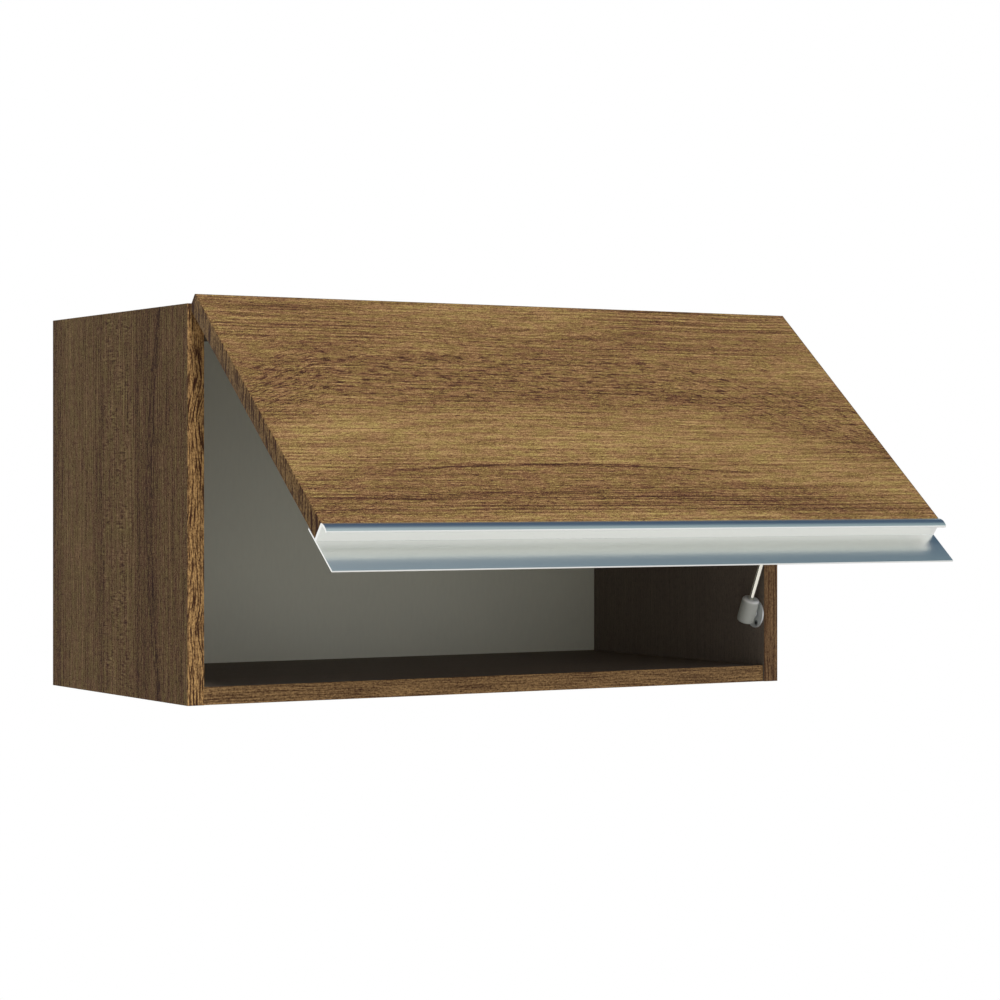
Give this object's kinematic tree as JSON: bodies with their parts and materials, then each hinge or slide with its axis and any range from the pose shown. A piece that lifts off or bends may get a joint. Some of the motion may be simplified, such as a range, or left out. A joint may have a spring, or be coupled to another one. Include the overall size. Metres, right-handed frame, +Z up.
{
  "type": "lift up wall cabinet",
  "caption": "Wall cabinet with a wood-grain carcass and a flap that lifts up on top hinges, with a full-width aluminium handle profile and a gas strut inside.",
  "frame": {"origin": "middle of the hardboard back's rear face, which lies on the wall", "axes": "+X to the right seen from the front, along the cabinet's width; +Y into the wall, so the flap faces -Y; +Z up"},
  "size_m": [0.6, 0.5451, 0.3383],
  "materials": {
    "wood_laminate": "embossed wood-grain laminate, satin",
    "edge_band": "wood-grain edge band, satin",
    "hardboard": "painted hardboard, matt",
    "anodised_aluminium": "satin anodised",
    "zinc_plated_steel": "zinc plated",
    "nickel_plated_steel": "nickel plated",
    "polished_rod": "polished",
    "dark_tube": "painted, satin",
    "grey_plastic": "moulded, satin"
  },
  "bodies": {
    "carcass": {"left_side_panel": "wood_laminate", "right_side_panel": "wood_laminate", "top_panel": "wood_laminate", "bottom_panel": "wood_laminate", "back_panel": "hardboard", "left_edge_band": "edge_band", "right_edge_band": "edge_band", "top_edge_band": "edge_band", "bottom_edge_band": "edge_band", "cam_top_left_front": "zinc_plated_steel", "cam_top_left_rear": "zinc_plated_steel", "cam_top_right_front": "zinc_plated_steel", "cam_top_right_rear": "zinc_plated_steel", "cam_bottom_left_front": "zinc_plated_steel", "cam_bottom_left_rear": "zinc_plated_steel", "cam_bottom_right_front": "zinc_plated_steel", "cam_bottom_right_rear": "zinc_plated_steel", "bolt_top_left_front": "nickel_plated_steel", "bolt_top_left_rear": "nickel_plated_steel", "bolt_top_right_front": "nickel_plated_steel", "bolt_top_right_rear": "nickel_plated_steel", "bolt_bottom_left_front": "nickel_plated_steel", "bolt_bottom_left_rear": "nickel_plated_steel", "bolt_bottom_right_front": "nickel_plated_steel", "bolt_bottom_right_rear": "nickel_plated_steel", "left_hanger": "zinc_plated_steel", "right_hanger": "zinc_plated_steel", "left_hanger_screw": "zinc_plated_steel", "right_hanger_screw": "zinc_plated_steel", "left_hinge_carcass_leaf": "nickel_plated_steel", "right_hinge_carcass_leaf": "nickel_plated_steel", "left_hinge_pin": "nickel_plated_steel", "right_hinge_pin": "nickel_plated_steel", "left_hinge_carcass_screw_1": "zinc_plated_steel", "left_hinge_carcass_screw_2": "zinc_plated_steel", "right_hinge_carcass_screw_1": "zinc_plated_steel", "right_hinge_carcass_screw_2": "zinc_plated_steel", "strut_stud_plate": "nickel_plated_steel", "strut_plate_screw_1": "zinc_plated_steel", "strut_plate_screw_2": "zinc_plated_steel"},
    "flap": {"flap_panel": "wood_laminate", "flap_top_edge_band": "edge_band", "flap_left_edge_band": "edge_band", "flap_right_edge_band": "edge_band", "handle_profile": "anodised_aluminium", "handle_screw_left": "zinc_plated_steel", "handle_screw_right": "zinc_plated_steel", "left_hinge_flap_leaf": "nickel_plated_steel", "right_hinge_flap_leaf": "nickel_plated_steel", "left_hinge_flap_screw_1": "zinc_plated_steel", "left_hinge_flap_screw_2": "zinc_plated_steel", "right_hinge_flap_screw_1": "zinc_plated_steel", "right_hinge_flap_screw_2": "zinc_plated_steel", "strut_flap_bracket": "nickel_plated_steel", "strut_bracket_screw_1": "zinc_plated_steel", "strut_bracket_screw_2": "zinc_plated_steel"},
    "strut_rod": {"strut_rod": "polished_rod", "strut_rod_socket": "grey_plastic"},
    "strut_tube": {"strut_tube": "dark_tube", "strut_tube_socket": "grey_plastic"}
  },
  "joints": [
    {"name": "flap_hinge", "type": "hinge", "parent": "carcass", "child": "flap", "pos_m": [0, -0.2974, 0.1605], "axis": [-1, 0, 0], "range_deg": [-50.28, 0], "stiffness_Nm_per_rad": 2, "springref_deg": 114.59},
    {"name": "strut_swing", "type": "hinge", "parent": "carcass", "child": "strut_rod", "pos_m": [0.2754, -0.279, -0.103], "axis": [1, 0, 0], "range_deg": [-23.4, 0]},
    {"name": "strut_stroke", "type": "slide", "parent": "strut_rod", "child": "strut_tube", "axis": [0, -0.4224, 0.9064], "range_m": [-0.0453, 0]}
  ],
  "couplings": [
    {"joint": "strut_swing", "follows": "flap_hinge", "ratio": 0.46531},
    {"joint": "strut_stroke", "follows": "flap_hinge", "m_per_rad": 0.051611}
  ]
}
